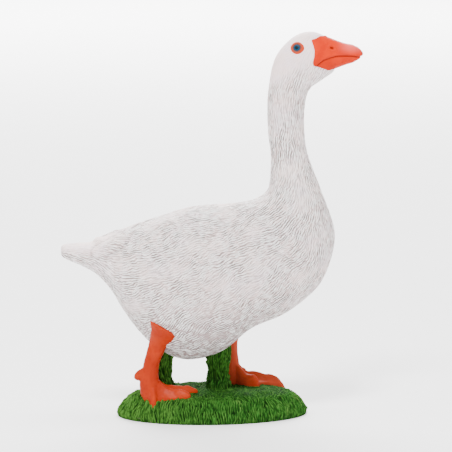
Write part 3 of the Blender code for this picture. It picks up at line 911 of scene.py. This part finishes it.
# Each slice of a leg: its front point and its back point seen from the side (mm), and half its width.
rightLeg = {
    "x": -12.5 * mm, "side": -1.0, "ridge": (1.45, 0.85), "lift": 0.0, "knob": None,
    "toes": ((-1.30, 0.31), (-0.36, 0.86), (0.03, 0.98)),
    "slices": (((-10.6, 4.3), (-14.1, 4.4), 1.45), ((-10.3, 6.4), (-14.4, 6.6), 1.60),
               ((-10.8, 8.4), (-14.1, 8.9), 1.45), ((-10.6, 10.9), (-13.7, 10.6), 1.40),
               ((-9.85, 12.7), (-13.2, 12.6), 1.45), ((-9.0, 14.3), (-12.6, 14.9), 1.65),
               ((-7.1, 15.6), (-12.4, 17.6), 1.85), ((-7.6, 16.9), (-12.85, 19.65), 1.75),
               ((-8.8, 17.4), (-12.75, 20.0), 0.80)),
}
leftLeg = {
    "x": 4.2 * mm, "side": 1.0, "ridge": (1.60, 1.65), "lift": 0.25 * mm, "knob": (6.4, 7.5),
    "toes": ((-0.72, 0.70), (0.0, 1.13), (0.72, 0.84)),
    "slices": (((5.9, 4.3), (2.4, 4.4), 1.45), ((6.2, 6.4), (2.3, 6.6), 1.60), ((5.9, 8.4), (2.5, 8.9), 1.45),
               ((5.55, 10.9), (2.6, 10.6), 1.40), ((5.5, 12.7), (2.5, 12.6), 1.45),
               ((5.8, 14.3), (2.2, 14.9), 1.65), ((6.4, 15.6), (1.9, 16.9), 1.85),
               ((6.0, 16.6), (2.0, 18.3), 1.75), ((5.1, 16.9), (2.4, 18.5), 0.80)),
}


# The shank widens into the thigh, whose top stands a little out of the flank.
def shankForm(face, which):
    side = which["side"]
    rings = []
    for k, (front, back, half) in enumerate(which["slices"]):
        middle = (Vector(front) + Vector(back)) / 2.0 * mm
        flank = face.ray_cast(Vector((middle.x, side * 0.03, middle.y)), Vector((0.0, -side, 0.0)))[0]
        proud = leg["proud"] if k < len(which["slices"]) - 1 else -leg["proud"]
        y = max(leg["stance"] / 2.0, (abs(flank.y) if flank else 0.0) + proud - half * mm)
        rings.append((Vector(front) * mm, Vector(back) * mm, half * mm, side * y))

    def place(share, angle):
        k = max(0.0, min(1.0, (share - 0.04) / 0.92)) * (len(rings) - 1)
        front, back, half, y = (curveThrough([ring[n] for ring in rings], k) for n in range(4))
        out = 1.0 if 0.03 < share < 0.97 else 0.0
        middle = (front + back) / 2.0
        reach = (front - back) / 2.0 * out * math.cos(angle)
        return Vector((middle.x + reach.x, y + half * out * math.sin(angle), middle.y + reach.y))

    return laidSphere(48, 72, place)


def ballForm(middle, long, wide, high, lean):
    def place(share, angle):
        out = math.sin(share * math.pi)
        along = -long * math.cos(share * math.pi)
        rise = high * out * math.sin(angle) + lean * along
        return middle + Vector((along, wide * out * math.cos(angle), rise))

    return laidSphere(32, 20, place)


def spurForm(which):
    y = which["side"] * leg["stance"] / 2.0
    middle = Vector((which["x"] - 1.35 * mm, y, grassLevel(which["x"], y) + leg["spurRise"]))
    return ballForm(middle, 1.65 * mm, 0.85 * mm, 1.15 * mm, 0.35)


# A webbed foot laid over the grass, with a rounded ridge along each toe.
def footForm(which):
    yAnkle = which["side"] * leg["stance"] / 2.0
    toes = which["toes"]

    def reach(angle):
        best = leg["heel"]
        for (a1, l1), (a2, l2) in zip(toes, toes[1:]):
            if a1 <= angle <= a2:
                f = (angle - a1) / (a2 - a1)
                best = l1 + (l2 - l1) * f - 0.26 * math.sin(math.pi * f)
        for direction, length in toes:
            off = abs(math.atan2(math.sin(angle - direction), math.cos(angle - direction)))
            blunt = length * (1.0 - ease(off, 0.02, 0.85 * mm / (length * leg["toe"]) + 0.25))
            best = max(best, blunt + leg["heel"] * ease(off, 0.0, 0.5))
        return best * leg["toe"]

    def ridge(far, angle):
        best = 0.0
        for direction, length in toes:
            turn = angle - direction
            if math.cos(turn) > 0.0:
                f = min(1.0, far * math.cos(turn) / (length * leg["toe"]))
                wide = leg["toeWide"] * (1.0 - 0.22 * f)
                high = which["ridge"][0] + (which["ridge"][1] - which["ridge"][0]) * f
                knuckle = 1.0 + 0.10 * math.cos(f * 5.0 * math.pi)
                best = max(best, high * mm * knuckle * math.exp(-(abs(far * math.sin(turn)) / wide) ** 2.2))
        return best * ease(far, 0.0, 1.0 * mm)

    def place(share, angle):
        out = share / 0.62 if share <= 0.62 else (1.0 - share) / 0.38
        far = reach(angle) * out
        x = which["x"] + far * math.cos(angle)
        y = yAnkle + far * math.sin(angle)
        ground = grassLevel(x, y) + which["lift"]
        if share > 0.62:
            return Vector((x, y, max(leg["footBed"], ground - leg["footSink"])))
        rim = math.sqrt(max(0.0, 1.0 - out ** 7))
        ankle = 2.7 * mm * (1.0 - ease(far, 0.0, 3.7 * mm))
        ripple = 0.05 * mm * math.sin(far / (0.28 * mm)) * ease(out, 0.35, 0.6)
        high = (leg["web"] + ridge(far, angle) + ankle + ripple) * rim
        return Vector((x, y, max(2.0 * leg["footBed"], ground + high)))

    return laidSphere(220, 90, place)


def makeLeg(name, face, which):
    shapes = [shankForm(face, which), spurForm(which), footForm(which)]
    if which["knob"]:
        x, z = which["knob"]
        middle = Vector((x * mm, which["side"] * leg["stance"] / 2.0, z * mm))
        shapes.append(ballForm(middle, 0.75 * mm, 0.7 * mm, 0.6 * mm, 0.0))
    skin = Skin(mouldTogether(name, shapes, leg["voxel"], 6))
    print(name, "skin", len(skin.at))
    for i, (co, out) in enumerate(zip(skin.at, skin.out)):
        fine = noise.noise(co / (0.55 * mm))
        broad = noise.noise(co / (1.6 * mm) + Vector((3.0, 1.0, 5.0)))
        skin.height[i] = (0.035 * fine + 0.05 * broad) * mm
    return skin.finish(name, "relief", -0.06 * mm, 0.06 * mm)


def legPaint():
    paint = Paint("leg paint")
    cloud = paint.noise(260.0, 3.0)
    low = paint.attribute("relief")
    orange = paint.mix(paint.step(cloud, 0.35, 0.65), (0.28, 0.019, 0.0035, 1.0), (0.34, 0.027, 0.0050, 1.0))
    # Painted shade: the dips of the leg's fine lumps are a darker red.
    orange = paint.mix((1.0 - paint.step(low, 0.1, 0.5)) * 0.35, orange, (0.20, 0.006, 0.0004, 1.0))
    # Painted shade colour: the far leg, at y > 0, stands in shade and gets its own lighter, less saturated
    # orange.
    orange = paint.mix(paint.step(paint.along("Y"), -0.001, 0.002) * 0.7, orange, (0.39, 0.052, 0.020, 1.0))
    scales = paint.add("ShaderNodeTexVoronoi", {"feature": "DISTANCE_TO_EDGE"},
                       {"Vector": paint.place(), "Scale": 1500.0})
    return paint.set(Base_Color=orange, Roughness=0.38 + 0.14 * cloud, Coat_Weight=0.03, Coat_Roughness=0.3,
                     Specular_IOR_Level=0.03, Normal=paint.bump(scales, 0.25, 0.00006))


# Floor, light and camera
studio = {"azimuth": -6.0, "elevation": 7.0, "distance": 0.5, "focalPixels": 2609.7,
          "aim": (0.0, 0.0, 0.037), "pixelsRight": -13.87, "pixelsDown": -2.53, "picture": 452}


def makeFloor():
    bm = bmesh.new()
    bmesh.ops.create_grid(bm, x_segments=1, y_segments=1, size=6.0)
    floor = toObject("floor", bm)
    paint = Paint("pale floor")
    grain = paint.noise(30.0, 2.0)
    colour = paint.mix(grain, (0.93, 0.93, 0.93, 1.0), (0.95, 0.95, 0.95, 1.0))
    floor.data.materials.append(paint.set(Base_Color=colour, Roughness=0.9, Specular_IOR_Level=0.1))


def areaLight(name, size, power, place, aim):
    light = bpy.data.lights.new(name, "AREA")
    light.shape = "DISK"
    light.size = size
    light.energy = power
    lamp = bpy.data.objects.new(name, light)
    lamp.location = place
    lamp.rotation_euler = (Vector(place) - Vector(aim)).to_track_quat("Z", "Y").to_euler()
    bpy.context.scene.collection.objects.link(lamp)


def makeStudio():
    world = bpy.data.worlds.new("studio")
    world.use_nodes = True
    world.node_tree.nodes["Background"].inputs["Color"].default_value = (1.0, 1.0, 1.0, 1.0)
    world.node_tree.nodes["Background"].inputs["Strength"].default_value = 1.1
    bpy.context.scene.world = world
    aim = Vector(studio["aim"])
    areaLight("key", 0.18, 7.5, (-0.16, -0.38, 0.58), aim)
    areaLight("top", 0.36, 2.4, (0.08, 0.06, 0.62), aim)
    areaLight("backdrop", 2.0, 200.0, (0.0, 1.9, 1.2), Vector((0.0, 1.9, 0.0)))

    a = math.radians(studio["azimuth"])
    e = math.radians(studio["elevation"])
    back = Vector((math.sin(a) * math.cos(e), -math.cos(a) * math.cos(e), math.sin(e)))
    data = bpy.data.cameras.new("camera")
    data.sensor_width = 36.0
    data.lens = studio["focalPixels"] * data.sensor_width / studio["picture"]
    data.shift_x = -studio["pixelsRight"] / studio["picture"]
    data.shift_y = studio["pixelsDown"] / studio["picture"]
    data.clip_start = 0.01
    data.clip_end = 20.0
    camera = bpy.data.objects.new("camera", data)
    camera.location = aim + back * studio["distance"]
    camera.rotation_euler = back.to_track_quat("Z", "Y").to_euler()
    bpy.context.scene.collection.objects.link(camera)
    bpy.context.scene.camera = camera


smoothGoose = gooseForm(96, 140)
face = BVHTree.FromBMesh(smoothGoose)
smoothGoose.free()

dress(makePlumage(), plumagePaint())
dress(makeBill(face), billPaint())
eyes = eyePaint()
dress(makeEye("right_eye", face, -1.0), eyes)
dress(makeEye("left_eye", face, 1.0), eyes)
legs = legPaint()
dress(makeLeg("right_leg", face, rightLeg), legs)
dress(makeLeg("left_leg", face, leftLeg), legs)
dress(makeGrass(face), grassPaint())
makeFloor()
makeStudio()
